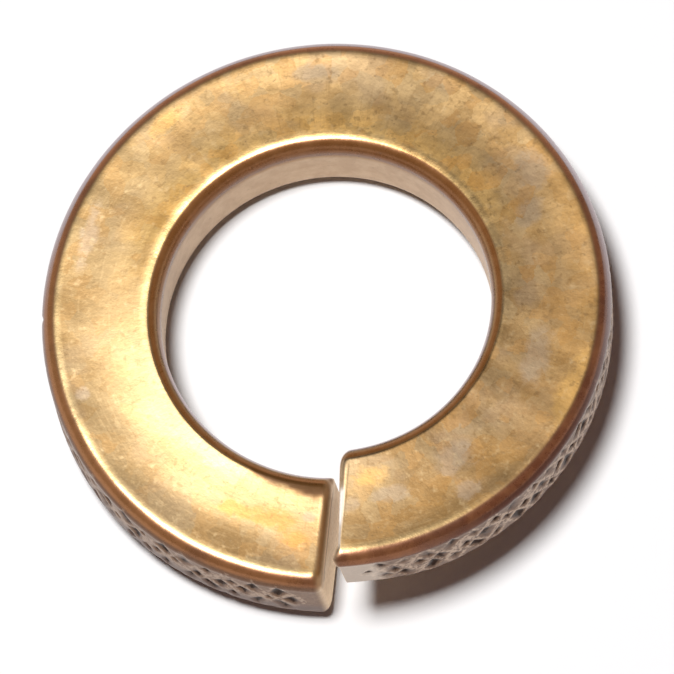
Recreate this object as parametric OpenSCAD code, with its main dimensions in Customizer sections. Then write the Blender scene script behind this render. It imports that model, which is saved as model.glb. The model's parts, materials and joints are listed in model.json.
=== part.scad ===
// Helical spring lock washer with a knurled rim.
//
// One turn of rounded rectangular wire, sheared at both ends and sprung open so that the ends stand one
// above the other. The bore axis is +Z, the split faces -Y and the lowest point of the coil lies on Z = 0.
// All lengths are in millimetres and all angles in degrees.

/* [Wire section] */
// Diameter of the hole the screw passes through
bore_diameter = 12.8; // [8:0.1:24]
// Radial width of the wire
wire_width = 4.6; // [3:0.1:7]
// Mean height of the wire along the axis
wire_thickness = 3.4; // [2:0.1:6]
// How much taller the wire is at the bore than at the rim
keystone = 0.16; // [0:0.02:0.4]
// Radius of the four rounded edges of the wire
edge_radius = 0.57; // [0.2:0.01:0.9]

/* [Coil] */
// Height of the high end above the low end when nothing presses on the washer
free_offset = 2.8; // [0.6:0.1:3.2]
// Width of the split at the middle of the wire
split_width = 0.62; // [0.3:0.02:2]
// Angle between the two sheared ends, opening towards the rim
split_taper = 5; // [0:0.5:10]
// Turn of the split away from the radius, towards the low end at the rim
split_skew = 6; // [-10:1:12]
// Lean of the sheared ends from the upright, the foot towards the high end
split_lean = 4; // [0:1:10]

/* [Sheared ends] */
// Radius rounded off the rim corner of the low end
low_end_round = 0.32; // [0.06:0.01:0.5]
// Radius rounded off the bore corner of the high end
high_end_round = 0.45; // [0.06:0.01:0.5]
// How far the shear has drawn up the foot of the high end
foot_lift = 0.7; // [0:0.05:1]
// Length of wire over which that foot comes up
foot_lift_length = 4.2; // [2:0.1:8]
// How far the burr at the top rim corner of the high end stands out
burr = 0.25; // [0:0.05:0.4]

/* [Knurl] */
// Number of diamonds around the full rim
knurl_count = 72; // [36:1:84]
// Number of staggered rows of pits up the rim
knurl_rows = 3; // [1:1:5]
// Depth of each pit below the rim
knurl_depth = 0.2; // [0.05:0.01:0.35]
// Size of each pit as a share of its diamond, the rest is the raised net
knurl_opening = 0.62; // [0.4:0.02:0.9]

/* [Fineness] */
// Number of flats that make up each rounded edge
edge_steps = 5; // [3:1:6]

/* [Hidden] */
bore_radius = bore_diameter / 2;
rim_radius = bore_radius + wire_width;
middle_radius = (bore_radius + rim_radius) / 2;

// The wire is left this much proud inside the bore, and the bore is then cut true.
bore_allowance = 0.015;
wall_radius = bore_radius - bore_allowance;

// Heights of the section, measured from its lowest point.
inner_top = wire_thickness + keystone / 2;
outer_top = inner_top - keystone / 2;
outer_bottom = keystone / 2;
middle_height = inner_top / 2;
middle = [middle_radius, middle_height];

// The other corners of the ends are only just rounded. A ring of points is set at each of these turns of the
// rounding, from the sheared face on, and one more within the face to bound the burr.
least_round = 0.06;
round_turns = [0, 30, 60];
burr_width = 0.25;

// The net of the knurl covers the flat of the rim and runs a little way on to the rounded edges.
net_run_on = 25;
flat_height = outer_top - outer_bottom - 2 * edge_radius;
net_height = flat_height + 2 * edge_radius * sin(net_run_on);
row_pitch = net_height / (knurl_rows + 1);

// Columns stand half a diamond apart, so every other grid point of a row is a pit.
column_count = 2 * knurl_count - 2;

// Points of the section in order: up the rim, in over the top, down the bore and out along the underside.
function rim_setback(height) =
    let (beyond = abs(height - middle_height) - flat_height / 2)
    beyond <= 0 ? 0 : edge_radius - sqrt(edge_radius * edge_radius - beyond * beyond);
function net_height_at(row) = middle_height + (row - (knurl_rows + 1) / 2) * row_pitch;
function round_edge(center, angles) =
    [for (a = angles) center + edge_radius * [cos(a), sin(a)]];
function swept(first, last, skip = 0) =
    [for (k = [skip : edge_steps]) first + (last - first) * k / edge_steps];

rim_points = [
    for (row = [0 : knurl_rows + 1])
        [rim_radius - rim_setback(net_height_at(row)), net_height_at(row)]
];
section = concat(
    rim_points,
    round_edge([rim_radius - edge_radius, outer_top - edge_radius], swept(net_run_on, 90, 1)),
    round_edge([wall_radius + edge_radius, inner_top - edge_radius], swept(90, 180)),
    round_edge([wall_radius + edge_radius, edge_radius], swept(180, 270)),
    [for (k = [0 : edge_steps - 1])
        [rim_radius - edge_radius, outer_bottom + edge_radius]
        + edge_radius * [cos(270 + (90 - net_run_on) * k / edge_steps),
                         sin(270 + (90 - net_run_on) * k / edge_steps)]]
);
section_count = len(section);

// Angle from -Y towards +X at which a section point meets the sheared end; side is -1 for the low end
// and 1 for the high end.
function cut_angle(point, side) =
    let (turn = split_skew - side * split_taper / 2)
    let (offset = side * split_width / 2 + tan(split_lean) * (middle_height - point[1]))
    asin((offset * cos(turn) + middle_radius * sin(turn)) / point[0]) - turn;

function turn_of(length, point) = length / point[0] * 180 / PI;

// A section point carried round the coil to an angle. It climbs evenly from the low end to the high end, and
// close to the high end the foot of the section comes up.
function carried(point, angle) =
    let (first = cut_angle(point, -1))
    let (last = cut_angle(point, 1) - 360)
    let (to_go = (angle - last) * point[0] * PI / 180)
    let (lift = to_go < foot_lift_length ? foot_lift * (1 + cos(180 * to_go / foot_lift_length)) / 2 : 0)
    let (height = point[1] + lift * (1 - point[1] / inner_top))
    [point[0] * sin(angle), -point[0] * cos(angle), height + free_offset * (first - angle) / (first - last)];

// Radius of the rounding where a section point meets an end: it grows towards the rim on the low end and
// towards the bore on the high end.
function end_round(point, side) =
    let (outward = (point[0] - bore_radius) / wire_width)
    side < 0
    ? least_round + (low_end_round - least_round) * outward
    : least_round + (high_end_round - least_round) * (1 - outward);

// A point between the shoulders of the two ends, from the low end (0) to the high end (1).
function on_coil(point, share) =
    let (first = cut_angle(point, -1) - turn_of(end_round(point, -1), point))
    let (last = cut_angle(point, 1) - 360 + turn_of(end_round(point, 1), point))
    carried(point, first + (last - first) * share);

// The burr is widest at the rounded corner between the rim and the top.
function burr_at(point, side) =
    let (corner = [rim_radius, outer_top] - edge_radius * (1 - cos(45)) * [1, 1])
    side < 0 ? 0 : burr * max(0, 1 - norm(point - corner) / edge_radius);

// A section point moved towards the middle of the wire, and one on the rounding of an end: a turn of 0 is the
// sheared face and 90 is the shoulder.
function drawn_in(point, depth) =
    let (narrower = 1 - 2 * depth / wire_width)
    let (lower = 1 - depth / middle_height)
    middle + [(point[0] - middle_radius) * narrower, (point[1] - middle_height) * lower];
function end_angle(point, side, back) =
    cut_angle(point, side) + side * turn_of(back, point) - (side < 0 ? 0 : 360);
function on_end(point, side, turn) =
    let (radius = end_round(point, side))
    let (inner = drawn_in(point, radius * (1 - sin(turn))))
    carried(inner, end_angle(inner, side, radius * (1 - cos(turn)) - burr_at(point, side) * cos(turn)));
function within_end(point, side) =
    let (inner = drawn_in(point, end_round(point, side) + burr_width))
    carried(inner, end_angle(inner, side, 0));

// The net: points whose column and row add up to an even number are pits, apart from those on its border.
function is_pit(column, row) =
    column > 1 && column < column_count - 1 && row > 0 && row <= knurl_rows && (column + row) % 2 == 0;
function rim_depth(column, row) = is_pit(column, row) ? knurl_depth : 0;
function grid_point(column, place) =
    on_coil(section[place] - [rim_depth(column, place), 0], column / column_count);
function level_point(column, row) = on_coil(section[row], column / column_count);

pits = [
    for (column = [2 : column_count - 2], row = [1 : knurl_rows])
        if (is_pit(column, row)) [column, row]
];
// The four corners of a diamond, clockwise as seen from outside the rim.
around = [[1, 0], [0, 1], [-1, 0], [0, -1]];
function mouth_point(pit, corner) =
    let (center = level_point(pit[0], pit[1]))
    center + knurl_opening * (level_point(pit[0] + corner[0], pit[1] + corner[1]) - center);

grid_points = [for (column = [0 : column_count], place = [0 : section_count - 1]) grid_point(column, place)];
mouth_points = [for (pit = pits, corner = around) mouth_point(pit, corner)];
end_rings = [
    for (side = [-1, 1])
        each concat(
            [for (point = section) within_end(point, side)],
            [for (turn = round_turns, point = section) on_end(point, side, turn)]
        )
];
end_points = [
    carried(middle, cut_angle(middle, -1)),
    carried(middle, cut_angle(middle, 1) - 360)
];
all_points = concat(grid_points, mouth_points, end_rings, end_points);

// Where each point stands in the list. Ring 0 of an end is the one within its face; the ring after the last
// is the shoulder, which is the first or the last column of the coil.
ring_count = len(round_turns) + 1;
rings_start = len(grid_points) + len(mouth_points);
function grid_index(column, place) = column * section_count + place % section_count;
function mouth_index(number, corner) = len(grid_points) + 4 * number + corner % 4;
function ring_index(end, ring, place) =
    ring == ring_count
    ? grid_index(end * column_count, place)
    : rings_start + (end * ring_count + ring) * section_count + place % section_count;
function end_index(end) = len(all_points) - 2 + end;

// The smooth faces between the top of the net and its foot, round over the top, the bore and the underside.
smooth_faces = [
    for (column = [0 : column_count - 1], place = [knurl_rows + 1 : section_count - 1], half = [0, 1])
        half == 0
        ? [grid_index(column, place), grid_index(column + 1, place), grid_index(column + 1, place + 1)]
        : [grid_index(column, place), grid_index(column + 1, place + 1), grid_index(column, place + 1)]
];

// Half diamonds left level along the border of the net. Two corners lie on a ridge, the third is level.
function net_triangle(column, row, level, first, second) =
    is_pit(column + level[0], row + level[1])
    ? []
    : [[grid_index(column + level[0], row + level[1]),
        grid_index(column + first[0], row + first[1]),
        grid_index(column + second[0], row + second[1])]];
border_faces = [
    for (column = [0 : column_count - 1], row = [0 : knurl_rows])
        each (column + row) % 2 == 1
        ? concat(
            net_triangle(column, row, [1, 0], [1, 1], [0, 0]),
            net_triangle(column, row, [0, 1], [0, 0], [1, 1])
        )
        : concat(
            net_triangle(column, row, [0, 0], [1, 0], [0, 1]),
            net_triangle(column, row, [1, 1], [0, 1], [1, 0])
        )
];

// Each diamond is a level frame round a four-sided pit.
frame_faces = [
    for (number = [0 : len(pits) - 1], corner = [0 : 3], half = [0, 1])
        let (here = around[corner])
        let (next = around[(corner + 1) % 4])
        let (a = grid_index(pits[number][0] + here[0], pits[number][1] + here[1]))
        let (b = grid_index(pits[number][0] + next[0], pits[number][1] + next[1]))
        half == 0
        ? [a, b, mouth_index(number, corner + 1)]
        : [a, mouth_index(number, corner + 1), mouth_index(number, corner)]
];
pit_faces = [
    for (number = [0 : len(pits) - 1], corner = [0 : 3])
        let (bottom = grid_index(pits[number][0], pits[number][1]))
        [mouth_index(number, corner), mouth_index(number, corner + 1), bottom]
];

// The sheared faces and their rounding, ring by ring out to the shoulder.
function turned(face, end) = end == 0 ? face : [face[2], face[1], face[0]];
end_faces = [
    for (end = [0, 1], place = [0 : section_count - 1])
        each concat(
            [turned([ring_index(end, 0, place), ring_index(end, 0, place + 1), end_index(end)], end)],
            [
                for (ring = [0 : ring_count - 1])
                    turned([ring_index(end, ring, place), ring_index(end, ring + 1, place),
                            ring_index(end, ring + 1, place + 1)], end)
            ],
            [
                for (ring = [0 : ring_count - 1])
                    turned([ring_index(end, ring, place), ring_index(end, ring + 1, place + 1),
                            ring_index(end, ring, place + 1)], end)
            ]
        )
];

module knurled_wire() {
    polyhedron(
        points = all_points,
        faces = concat(smooth_faces, border_faces, frame_faces, pit_faces, end_faces),
        convexity = 10
    );
}

module bore() {
    margin = 1;
    translate([0, 0, -margin])
        cylinder(r = bore_radius, h = inner_top + free_offset + 2 * margin, $fn = 180);
}

module washer() {
    color([0.72, 0.55, 0.34])
        difference() {
            knurled_wire();
            bore();
        }
}

washer();
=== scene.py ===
"""Spring lock washer: one turn of rounded bronze wire with a knurled rim, lying on a white table."""
import json
import math

import bmesh
import bpy
import numpy as np
from mathutils import Matrix, Vector


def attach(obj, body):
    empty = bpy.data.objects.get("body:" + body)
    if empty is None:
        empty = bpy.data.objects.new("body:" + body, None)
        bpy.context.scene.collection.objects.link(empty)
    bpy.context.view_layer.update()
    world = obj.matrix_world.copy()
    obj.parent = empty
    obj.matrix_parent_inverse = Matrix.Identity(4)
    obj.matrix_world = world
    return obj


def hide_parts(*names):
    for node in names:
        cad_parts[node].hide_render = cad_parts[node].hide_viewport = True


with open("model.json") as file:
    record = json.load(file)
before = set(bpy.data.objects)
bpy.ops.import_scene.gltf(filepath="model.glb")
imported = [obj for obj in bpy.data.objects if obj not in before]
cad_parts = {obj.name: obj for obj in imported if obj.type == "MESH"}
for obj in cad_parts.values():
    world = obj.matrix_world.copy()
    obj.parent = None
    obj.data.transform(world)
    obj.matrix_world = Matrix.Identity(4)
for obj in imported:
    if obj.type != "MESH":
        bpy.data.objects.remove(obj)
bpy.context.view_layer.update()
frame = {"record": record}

MM = 0.001
NODE = "washer"

# Sizes of the wire and its coil as in the part's source, in millimetres and radians.
mounts = {mount["name"]: mount for mount in frame["record"]["mounts"]}
BORE_RADIUS = mounts["bore"]["dims"]["r_mm"]
WIRE_WIDTH = 4.6
WIRE_THICKNESS = 3.4
KEYSTONE = 0.16
EDGE_RADIUS = 0.57
FREE_OFFSET = 2.8
SPLIT_WIDTH = 0.62
SPLIT_TAPER = math.radians(5)
SPLIT_SKEW = math.radians(6)
SPLIT_LEAN = math.radians(4)
LOW_END_ROUND, HIGH_END_ROUND, LEAST_ROUND = 0.32, 0.45, 0.06
FOOT_LIFT, FOOT_LIFT_LENGTH = 0.7, 4.2
BURR, BURR_WIDTH = 0.25, 0.25
KNURL_COUNT = 72
KNURL_ROWS = 3
NET_RUN_ON = math.radians(25)

RIM_RADIUS = BORE_RADIUS + WIRE_WIDTH
MIDDLE_RADIUS = (BORE_RADIUS + RIM_RADIUS) / 2
INNER_TOP = WIRE_THICKNESS + KEYSTONE / 2
OUTER_TOP = INNER_TOP - KEYSTONE / 2
OUTER_BOTTOM = KEYSTONE / 2
MIDDLE_HEIGHT = INNER_TOP / 2
FLAT_HEIGHT = OUTER_TOP - OUTER_BOTTOM - 2 * EDGE_RADIUS
NET_HEIGHT = FLAT_HEIGHT + 2 * EDGE_RADIUS * math.sin(NET_RUN_ON)
ROW_PITCH = NET_HEIGHT / (KNURL_ROWS + 1)
HALF_DIAMONDS = 2 * KNURL_COUNT - 2
KNURLED_FROM = RIM_RADIUS - EDGE_RADIUS

# Fine form of the knurl that only the picture shows. A pit's depth is a share of the full depth, and its land
# a share of the way from a ridge to the pit's middle. The pits grow fainter over the last columns.
KNURL_DEPTH = 0.2
PIT_DEPTHS, PIT_LANDS = (0.5, 1.1), (0.14, 0.5)
SPARE_COLUMNS, SPARE_ROWS = 2, 3
PIT_TABLE = (HALF_DIAMONDS + 2 * SPARE_COLUMNS, KNURL_ROWS + 2 * SPARE_ROWS)
ROW_STRENGTHS = {-2: 0.2, -1: 0.95, 0: 1.0, 1: 0.8}
FADE_COLUMNS, FADED_STRENGTH = 12, 0.5
CREST_MARGIN = 0.1

# Each family of ridges wanders by a product of waves: radians per column, radians per row, start of the wave.
NET_WOBBLE = 0.2
RISING_WAVES = ((1.7, 2.3, 0), (0.37, -1.1, 0))
FALLING_WAVES = ((1.3, -1.9, 1), (0.43, 0.8, 0))

# Fine form of the faces and the ends that only the picture shows, with lengths in millimetres.
DISH = 0.058
ROLL_OVER = math.radians(10)
OUTER_ROLL, INNER_ROLL, NEAR_INNER_ROLL = 0.2, 0.36, 0.06
PRESSED, PRESSED_LENGTH, PRESSED_START, PRESSED_WIDTH = 0.08, 4.0, 0.2, 0.75
WAVE_COUNT, WAVE_HEIGHT, WAVE_LENGTHS = 9, 0.0022, (1.6, 4.0)
LOW_LIP_ROUND, HIGH_LIP_ROUND, LIP_BELOW_TOP = 0.35, 0.14, 0.1
random = np.random.default_rng(11)

# How finely the mesh is divided: columns round the coil, steps along each stretch of the section, rings on an
# end's flat face as shares of its size, and rings on the end's rounding in degrees.
COLUMNS = 6 * HALF_DIAMONDS
TOP_ARC_STEPS, FOOT_ARC_STEPS = 12, 8
TOP_STEPS, BORE_STEPS, FOOT_STEPS, RIM_STEPS = 20, 7, 9, 24
CAP_RINGS = (0.25, 0.5, 0.75, 0.9)
END_TURNS = (0, 15, 30, 45, 60, 75)

# The stretches of the section's outline, in order from the rim's upper edge over the top and round.
STRETCHES = ("rim top", "top", "top bore", "bore", "bore foot", "foot", "foot rim", "rim")

# Zones of colour along that outline. Each rises over its first border and falls over its second one. A border
# is the stretch from whose start it is counted and its two ends past that start, in millimetres. One that is
# only SHARP wide is as good as a step.
DEGREE = EDGE_RADIUS * math.radians(1)
SHARP = 0.001
INTO_TOP = ("top", -0.06, 0.05)
ZONE_BORDERS = {
    # The brown of the rounded outer edge is partly tarnish and partly painted dark reflection, which reaches
    # further down beside the split, where the edge faces the camera.
    "near edge": (("rim top", 38 * DEGREE, 50 * DEGREE), INTO_TOP),
    "far edge": (("rim top", 52 * DEGREE, 60 * DEGREE), INTO_TOP),
    "left edge": (("rim top", 28 * DEGREE, 38 * DEGREE), INTO_TOP),
    "tip edge": (("rim top", 6 * DEGREE, 16 * DEGREE), INTO_TOP),
    "near rim": (None, ("rim top", 57 * DEGREE, 64 * DEGREE)),
    "far rim": (None, ("rim top", 62 * DEGREE, 68 * DEGREE)),
    "lower rim": (("foot rim", 0.4, 0.7), None),
    # Painted shade: where the outer edge's brown darkens just below the top face.
    "upper": (("rim top", 68 * DEGREE, 78 * DEGREE), ("top", 0.3 - SHARP, 0.3)),
    # A painted dark reflection on the outer edge's lower part, towards the rim, beside the split.
    "purple": (("rim top", 0, 12 * DEGREE), None),
    # Painted reflections of the lit table: on the outer edge opposite the split and on the inner edge beside
    # it.
    "fringe": (("rim top", 8 * DEGREE, 18 * DEGREE), ("rim top", 52 * DEGREE, 62 * DEGREE)),
    "inner fringe": (("top bore", 30 * DEGREE, 45 * DEGREE), ("bore", 0, 0.3)),
    # The brown band along the bore is partly tarnish and partly painted dark reflection, which covers the
    # whole inner edge opposite the split, where it faces the camera.
    "near band": (("top bore", -2 * DEGREE, 5 * DEGREE), ("top bore", 22 * DEGREE, 36 * DEGREE)),
    "far band": (("top bore", -0.02, 0.05), ("bore", 0.02, 0.1)),
    "deep": (("top bore", 0.14, 0.4), None),
    "bore": (("bore", 0, 0.14), ("foot", -SHARP, 0)),
    "foot": (("foot rim", 0, 0.3), ("rim", -0.3, 0)),
    "outer arc": (None, ("top", -0.05, 0.05)),
    "inner arc": (("top bore", -0.1, 0), ("bore", 0, 0.2)),
    "outer roll": (None, ("top", 0.1, 0.3)),
    "inner roll": (("top bore", -0.4, -0.15), ("bore", -SHARP, 0)),
}

# Painted shade starts on the foot's outer edge and ends on the rim. The distance to the bore counts on the
# top face and a little past it, and is large elsewhere. The rim's side and the top go by height below the
# outer top.
FOOT_SHADE_START, FOOT_SHADE_END = 0.2, (0.1, 0.9)
PAST_BORE, OFF_FACE = 0.1, 9.0
RIM_SIDE_DEPTH, RIM_SIDE_DROP = 0.3, (-0.4, -0.2)
TOP_DROP = (-0.5, -0.15)

# The far side begins and is full at these shares of the way across the washer from the split.
FAR_SHARES = (0.2, 0.8)

# Where the zones change round the coil: shares of the turn from the low end, 0, to the high end, 1.
LEFT_SHARES, LOW_SHARES = (0.18, 0.32), (0.2, 0.35)
# The last pair is where the rim's side near the high end's tip carries a painted reflection of the lit table.
HIGH_SHARES, TIP_SHARES, TABLE_REFLECTION_SHARES = (0.88, 0.97), (0.9, 0.965), (0.972, 0.985)

# How strongly the foot's edge is brown, and how much of the painted dark reflection the left side lacks.
FOOT_BAND, LEFT_LESS_DARK_REFLECTION = 0.4, 0.6

# The brown wedge at the low end's inner corner: its width in millimetres, the share of the turn that it
# takes, how far its soft border lies back and reaches, its strength, and the height and pace of its waves.
WEDGE_WIDTH, WEDGE_SHARE = 0.54, 0.085
WEDGE_SETBACK, WEDGE_BORDER, WEDGE_STRENGTH = 0.08, 0.07, 0.95
WEDGE_WAVES = ((0.16, 150), (0.08, 330))

# How brown the lips of the sheared ends are, and the painted highlight along the high one: the radii over
# which it starts, thins and ends, and where on the end's rounding it rises and falls.
LOW_LIP, HIGH_LIP, LOW_FACE_LIP = 1.0, 0.25, 0.7
END_HIGHLIGHT_STARTS, END_HIGHLIGHT_THINS, END_HIGHLIGHT_ENDS, END_HIGHLIGHT_THINNER = (7.8, 8.1), (9.2, 9.6), (10.2, 10.5), 0.5
END_HIGHLIGHT_RISE, END_HIGHLIGHT_FALL = (0.0, 0.2), (0.6, 0.9)


def ramp(value, low, high):
    """0 below low, 1 above high, smooth between them."""
    share = np.clip((value - low) / (high - low), 0, 1)
    return share * share * (3 - 2 * share)


def arc(center, first, last, steps):
    """Points on one rounded edge of the wire, from one angle to another in degrees."""
    angles = np.radians(np.linspace(first, last, steps + 1))
    return np.stack([center[0] + EDGE_RADIUS * np.cos(angles), center[1] + EDGE_RADIUS * np.sin(angles)], 1)


def face(first, last, steps, sag, rolls=None):
    """Points between two rounded edges, without its ends, hollowed by the sag and rolled over at its ends."""
    share = (1 - np.cos(np.linspace(0, np.pi, steps + 1)[1:-1])) / 2
    first, last = np.array(first), np.array(last)
    width = np.linalg.norm(last - first)
    heights = [0.0, 0.0]
    if rolls:
        heights = [(math.tan(ROLL_OVER) + 4 * sag / width) * roll / 2 for roll in rolls]
    points = np.outer(1 - share, first + [0, heights[0]]) + np.outer(share, last + [0, heights[1]])
    points[:, 1] -= sag * 4 * share * (1 - share)
    if rolls:
        points[:, 1] -= heights[0] * np.clip(1 - share * width / rolls[0], 0, 1) ** 2
        points[:, 1] -= heights[1] * np.clip(1 - (1 - share) * width / rolls[1], 0, 1) ** 2
    return points


def wire_section(inner_roll):
    """The wire's outline as points (radius, height), and the number of the first point of each stretch."""
    outer, inner = RIM_RADIUS - EDGE_RADIUS, BORE_RADIUS + EDGE_RADIUS
    roll = math.degrees(ROLL_OVER)
    top_rim = arc((outer, OUTER_TOP - EDGE_RADIUS), 0, 90 - roll, TOP_ARC_STEPS)
    top_bore = arc((inner, INNER_TOP - EDGE_RADIUS), 90 + roll, 180, TOP_ARC_STEPS)
    foot_bore = arc((inner, EDGE_RADIUS), 180, 270, FOOT_ARC_STEPS)
    foot_rim = arc((outer, OUTER_BOTTOM + EDGE_RADIUS), 270, 360, FOOT_ARC_STEPS)
    rim_heights = np.linspace(foot_rim[-1][1], top_rim[0][1], RIM_STEPS + 1)[1:-1]
    stretches = [
        top_rim,
        face(top_rim[-1], top_bore[0], TOP_STEPS, DISH, (OUTER_ROLL, inner_roll)),
        top_bore,
        face(top_bore[-1], foot_bore[0], BORE_STEPS, 0),
        foot_bore,
        face(foot_bore[-1], foot_rim[0], FOOT_STEPS, -DISH),
        foot_rim,
        np.stack([np.full(len(rim_heights), RIM_RADIUS), rim_heights], 1),
    ]
    starts = np.cumsum([0] + [len(stretch) for stretch in stretches])
    return np.concatenate(stretches), dict(zip(STRETCHES, starts))


def past(border, along, corner):
    """0 before a border of a zone, 1 past it."""
    stretch, low, high = border
    return ramp(along, corner[stretch] + low, corner[stretch] + high)


def section_zones(points, starts):
    """How strongly each zone shows at each point of the section."""
    along = np.append(0, np.cumsum(np.linalg.norm(np.diff(points, axis=0), axis=1)))
    corner = {name: along[start] for name, start in starts.items()}
    zones = {}
    for name, (rise, fall) in ZONE_BORDERS.items():
        zone = past(rise, along, corner) if rise else 1.0
        zones[name] = zone * (1 - past(fall, along, corner)) if fall else zone
    # Painted shade along the foot's outer edge and the rim's lower part.
    grime = ramp(along, corner["foot rim"] + FOOT_SHADE_START, corner["rim"])
    zones["grime"] = grime * (1 - ramp(along, corner["rim"] + FOOT_SHADE_END[0], corner["rim"] + FOOT_SHADE_END[1]))
    on_top = along < corner["top bore"] + PAST_BORE
    zones["to bore"] = np.where(on_top, corner["top bore"] - along, OFF_FACE)
    radius, height = points.T
    below_top = 1 - ramp(height, OUTER_TOP + RIM_SIDE_DROP[0], OUTER_TOP + RIM_SIDE_DROP[1])
    zones["rim side"] = np.where(radius > RIM_RADIUS - RIM_SIDE_DEPTH, below_top, 0.0)
    zones["top"] = ramp(height, OUTER_TOP + TOP_DROP[0], OUTER_TOP + TOP_DROP[1])
    return zones


SECTION, STARTS = wire_section(INNER_ROLL)
NEAR_SECTION = wire_section(NEAR_INNER_ROLL)[0]
ZONES = section_zones(SECTION, STARTS)


def cut_angle(radius, height, side):
    """Angle from -Y towards +X where an end meets a section point; side is -1 (low end) or 1 (high end)."""
    turn = SPLIT_SKEW - side * SPLIT_TAPER / 2
    offset = side * SPLIT_WIDTH / 2 + math.tan(SPLIT_LEAN) * (MIDDLE_HEIGHT - height)
    return np.arcsin((offset * math.cos(turn) + MIDDLE_RADIUS * math.sin(turn)) / radius) - turn


def carried(radius, height, angle):
    """A section point carried round the coil to an angle; the high foot comes up, the low end is pressed."""
    first = cut_angle(radius, height, -1)
    last = cut_angle(radius, height, 1) - 2 * math.pi
    near = np.clip((angle - last) * radius / FOOT_LIFT_LENGTH, 0, 1)
    lift = FOOT_LIFT * (1 + np.cos(math.pi * near)) / 2 * (1 - height / INNER_TOP)
    climb = FREE_OFFSET * (first - angle) / (first - last)
    pressed = 1 - ramp((first - angle) * radius, 0, PRESSED_LENGTH)
    pressed_from = BORE_RADIUS + PRESSED_START
    pressed = pressed * (1 - ramp(radius, pressed_from, pressed_from + PRESSED_WIDTH))
    lift = lift - PRESSED * pressed * height / INNER_TOP
    x, y = radius * np.sin(angle), -radius * np.cos(angle)
    lift = lift + waves(x, y) * ramp(height, INNER_TOP / 2, OUTER_TOP)
    return np.stack([x, y, height + lift + climb], -1)


def end_round(radius, height, side):
    """Radius of the rounding where a section point meets an end; the top edge is worn a little rounder."""
    outward = (radius - BORE_RADIUS) / WIRE_WIDTH
    lip = ramp(height, OUTER_TOP - EDGE_RADIUS, OUTER_TOP - LIP_BELOW_TOP)
    if side < 0:
        return np.maximum(LEAST_ROUND + (LOW_END_ROUND - LEAST_ROUND) * outward, LOW_LIP_ROUND * lip)
    return np.maximum(LEAST_ROUND + (HIGH_END_ROUND - LEAST_ROUND) * (1 - outward), HIGH_LIP_ROUND * lip)


def end_angle(radius, height, side, back):
    """Angle of a point that stands a length back from the sheared face."""
    return cut_angle(radius, height, side) + side * back / radius - (2 * math.pi if side > 0 else 0)


def on_coil(radius, height, share):
    """A section point carried between the shoulders of the two ends."""
    first = end_angle(radius, height, -1, end_round(radius, height, -1))
    last = end_angle(radius, height, 1, end_round(radius, height, 1))
    return carried(radius, height, first + (last - first) * share)


def drawn_in(depth):
    """The section moved towards the middle of the wire."""
    radius = MIDDLE_RADIUS + (SECTION[:, 0] - MIDDLE_RADIUS) * (1 - 2 * depth / WIRE_WIDTH)
    height = MIDDLE_HEIGHT + (SECTION[:, 1] - MIDDLE_HEIGHT) * (1 - depth / MIDDLE_HEIGHT)
    return radius, height


def burr(side):
    """How far each section point of an end stands out as burr; only the high end has one."""
    if side < 0:
        return 0.0
    corner = np.array([RIM_RADIUS, OUTER_TOP]) - EDGE_RADIUS * (1 - math.sqrt(0.5))
    return BURR * np.clip(1 - np.linalg.norm(SECTION - corner, axis=1) / EDGE_RADIUS, 0, 1)


pit_depths = random.uniform(*PIT_DEPTHS, PIT_TABLE)
pit_lands = random.uniform(*PIT_LANDS, PIT_TABLE)
wave_turns = random.uniform(0, math.pi, WAVE_COUNT)
wave_lengths = random.uniform(*WAVE_LENGTHS, WAVE_COUNT)
wave_starts = random.uniform(0, 2 * math.pi, WAVE_COUNT)


def waves(x, y):
    """How far the top face lies above or below its even form: it isn't quite flat."""
    total = 0
    for turn, length, start in zip(wave_turns, wave_lengths, wave_starts):
        total = total + np.sin(2 * math.pi / length * (x * math.cos(turn) + y * math.sin(turn)) + start)
    return WAVE_HEIGHT * total


def wander(column, row, waves_of_family):
    """How far a family of ridges wanders from its even place, in diamonds."""
    offset = NET_WOBBLE
    for per_column, per_row, start in waves_of_family:
        offset = offset * np.sin(per_column * column + per_row * row + start)
    return offset


def knurl(share, height):
    """How deep the knurl lies on the rim, 1 in a full pit, and how near each place is to a ridge's crest."""
    column = share * HALF_DIAMONDS
    row = (height - MIDDLE_HEIGHT) / ROW_PITCH
    rising = (column + row + 1) / 2 + wander(column, row, RISING_WAVES)
    falling = (column - row + 1) / 2 + wander(column, row, FALLING_WAVES)
    pit_column = np.floor(rising) + np.floor(falling)
    pit_row = np.floor(rising) - np.floor(falling)
    near_ridge = 2 * np.minimum(*[0.5 - abs(line - np.floor(line) - 0.5) for line in (rising, falling)])
    table_column = np.clip(pit_column + SPARE_COLUMNS, 0, PIT_TABLE[0] - 1).astype(int)
    table_row = (pit_row + SPARE_ROWS).astype(int) % PIT_TABLE[1]
    land = pit_lands[table_column, table_row]
    depth = np.clip((near_ridge - land) / (1 - land), 0, 1) * pit_depths[table_column, table_row]
    strength = sum(value * (pit_row == number) for number, value in ROW_STRENGTHS.items())
    strength = strength * (pit_column > 1) * (pit_column < HALF_DIAMONDS - 1)
    far_from_tip = ramp(HALF_DIAMONDS - pit_column, 0, FADE_COLUMNS)
    strength = strength * (FADED_STRENGTH + (1 - FADED_STRENGTH) * far_from_tip)
    crest = np.clip(1 - near_ridge / (land + CREST_MARGIN), 0, 1)
    return depth * strength, crest * strength


def far_side(share):
    """0 beside the split, 1 opposite it."""
    return ramp((1 - math.cos(2 * math.pi * share)) / 2, *FAR_SHARES)


def coil_ring(share):
    """One ring of points round the wire, how deep the knurl lies at each, and how near a crest it is."""
    far = far_side(share)
    radius, height = (NEAR_SECTION * (1 - far) + SECTION * far).T
    on_rim = radius > KNURLED_FROM
    pit, crest = [np.where(on_rim, values, 0.0) for values in knurl(share, height)]
    return on_coil(radius - KNURL_DEPTH * pit, height, share), pit, crest


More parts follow.
